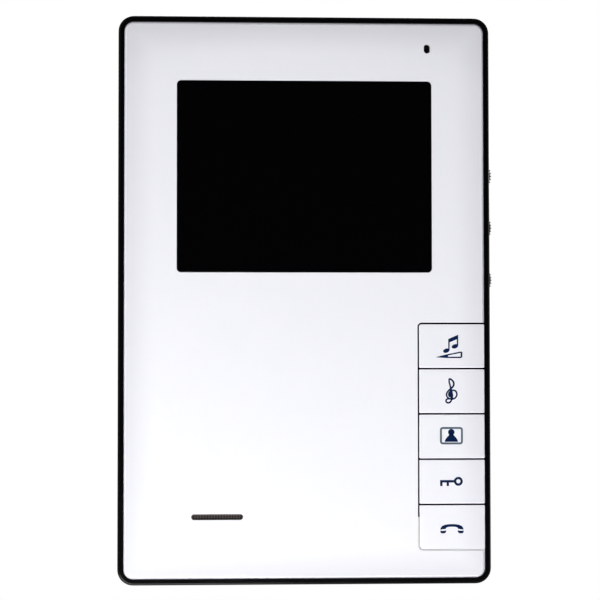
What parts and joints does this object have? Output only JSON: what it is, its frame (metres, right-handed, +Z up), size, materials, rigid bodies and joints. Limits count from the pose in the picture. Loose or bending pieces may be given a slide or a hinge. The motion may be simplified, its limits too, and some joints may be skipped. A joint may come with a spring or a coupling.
{
  "type": "video intercom monitor",
  "caption": "Slim portrait wall-mounted video intercom monitor with a white gloss faceplate, black display window, pictogram keys, thumbwheels in its side wall and a hooked steel bracket.",
  "frame": {"origin": "middle of the two wall-box screw slots, in the plane of the wall bracket's back face", "axes": "+Z up, +X to the right as a person faces the monitor, +Y into the wall; the front faces -Y"},
  "size_m": [0.1218, 0.024, 0.183],
  "materials": {
    "zinc_steel": "satin",
    "casing_black": "satin",
    "faceplate_white": "gloss",
    "key_white": "gloss",
    "tape_grey": "matte",
    "window_black": "gloss",
    "foam_black": "matte",
    "pressed_steel": "satin",
    "panel_black": "gloss",
    "backlight_white": "matte",
    "flex_amber": "gloss",
    "board_green": "gloss",
    "chip_black": "matte",
    "capacitor_silver": "satin",
    "ferrite_grey": "matte",
    "socket_ivory": "matte",
    "header_white": "matte",
    "pin_brass": "satin",
    "trimmer_brown": "matte",
    "switch_black": "matte",
    "speaker_steel": "satin",
    "cone_dark": "matte",
    "magnet_zinc": "satin",
    "mesh_brown": "matte",
    "can_aluminium": "satin",
    "boot_rubber": "matte",
    "screw_steel": "satin",
    "wire_red": "satin",
    "wire_white": "satin",
    "wire_grey": "satin",
    "strip_pale": "satin",
    "wheel_black": "satin",
    "carrier_black": "matte"
  },
  "bodies": {
    "wall_plate": {"wall_bracket": "zinc_steel"},
    "monitor": {"rear_casing": "casing_black", "front_casing": "casing_black", "faceplate": "faceplate_white", "faceplate_tape": "tape_grey", "display_window": "window_black", "display_gasket": "foam_black", "display_frame": "pressed_steel", "display_panel": "panel_black", "display_backlight": "backlight_white", "display_flex": "flex_amber", "display_pads": "foam_black", "main_board": "board_green", "board_chips": "chip_black", "board_capacitors": "capacitor_silver", "board_coils": "ferrite_grey", "board_sockets": "socket_ivory", "station_headers": "header_white", "header_pins": "pin_brass", "trimmer_bases": "trimmer_brown", "key_board": "board_green", "key_switches": "switch_black", "key_board_socket": "socket_ivory", "key_gap_strip": "strip_pale", "speaker_frame": "speaker_steel", "speaker_cone": "cone_dark", "speaker_magnet": "magnet_zinc", "speaker_gasket": "foam_black", "speaker_mesh": "mesh_brown", "microphone": "can_aluminium", "microphone_boot": "boot_rubber", "case_screws": "screw_steel", "board_screws": "screw_steel", "key_board_screws": "screw_steel", "speaker_screws": "screw_steel", "speaker_wires": "wire_red", "microphone_wires": "wire_white", "key_board_cable": "wire_grey"},
    "brightness_wheel": {"wheel_brightness": "wheel_black"},
    "contrast_wheel": {"wheel_contrast": "wheel_black"},
    "sound_wheel": {"wheel_sound": "wheel_black"},
    "volume_key": {"key_cap_volume": "key_white", "key_carrier_volume": "carrier_black", "switch_stem_volume": "switch_black"},
    "melody_key": {"key_cap_melody": "key_white", "key_carrier_melody": "carrier_black", "switch_stem_melody": "switch_black"},
    "view_key": {"key_cap_view": "key_white", "key_carrier_view": "carrier_black", "switch_stem_view": "switch_black"},
    "unlock_key": {"key_cap_unlock": "key_white", "key_carrier_unlock": "carrier_black", "switch_stem_unlock": "switch_black"},
    "talk_key": {"key_cap_talk": "key_white", "key_carrier_talk": "carrier_black", "switch_stem_talk": "switch_black"}
  },
  "joints": [
    {"name": "monitor_lift", "type": "slide", "parent": "wall_plate", "child": "monitor", "axis": [0, 0, 1], "range_m": [0, 0.0058]},
    {"name": "brightness_turn", "type": "hinge", "parent": "monitor", "child": "brightness_wheel", "pos_m": [0.0548, -0.01435, 0.04085], "axis": [0, 1, 0], "range_deg": [-135, 135]},
    {"name": "contrast_turn", "type": "hinge", "parent": "monitor", "child": "contrast_wheel", "pos_m": [0.0548, -0.01435, 0.02375], "axis": [0, 1, 0], "range_deg": [-135, 135]},
    {"name": "sound_turn", "type": "hinge", "parent": "monitor", "child": "sound_wheel", "pos_m": [0.0548, -0.01435, 0.00665], "axis": [0, 1, 0], "range_deg": [-135, 135]},
    {"name": "volume_press", "type": "slide", "parent": "monitor", "child": "volume_key", "axis": [0, 1, 0], "range_m": [0, 0.0005], "stiffness_N_per_m": 2000, "springref_m": -0.0003},
    {"name": "melody_press", "type": "slide", "parent": "monitor", "child": "melody_key", "axis": [0, 1, 0], "range_m": [0, 0.0005], "stiffness_N_per_m": 2000, "springref_m": -0.0003},
    {"name": "view_press", "type": "slide", "parent": "monitor", "child": "view_key", "axis": [0, 1, 0], "range_m": [0, 0.0005], "stiffness_N_per_m": 2000, "springref_m": -0.0003},
    {"name": "unlock_press", "type": "slide", "parent": "monitor", "child": "unlock_key", "axis": [0, 1, 0], "range_m": [0, 0.0005], "stiffness_N_per_m": 2000, "springref_m": -0.0003},
    {"name": "talk_press", "type": "slide", "parent": "monitor", "child": "talk_key", "axis": [0, 1, 0], "range_m": [0, 0.0005], "stiffness_N_per_m": 2000, "springref_m": -0.0003}
  ]
}
